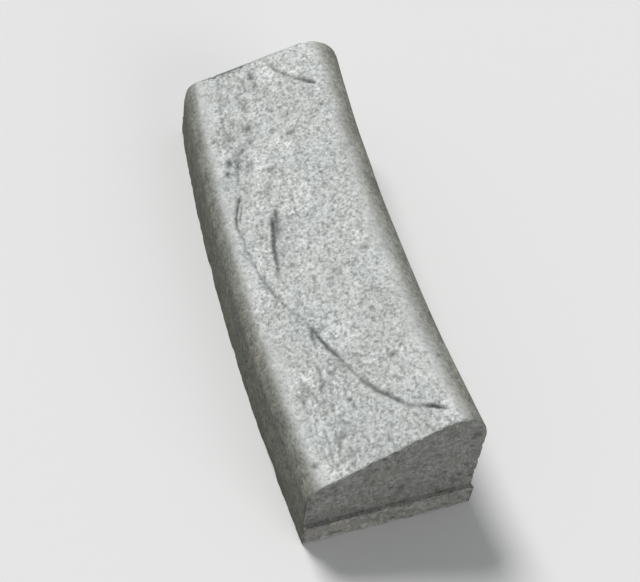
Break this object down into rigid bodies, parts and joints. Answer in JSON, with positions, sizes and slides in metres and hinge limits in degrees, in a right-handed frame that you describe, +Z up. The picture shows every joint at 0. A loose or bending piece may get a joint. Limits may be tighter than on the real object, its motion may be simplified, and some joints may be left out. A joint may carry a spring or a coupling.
{
  "type": "concrete kerb stone",
  "caption": "Curved slip-formed concrete kerb stone with a slanting stamped top, rounded shoulders and a cut half joint at each end.",
  "frame": {"origin": "middle of the bounding box, on the flat base", "axes": "+X along the kerb from joint to joint, +Y to the high back face, on the inside of the bend, +Z up"},
  "size_m": [0.6266, 0.2036, 0.15],
  "materials": {
    "concrete": "stamped and brushed grey concrete"
  },
  "bodies": {
    "root": {"kerb_stone": "concrete"}
  },
  "joints": []
}
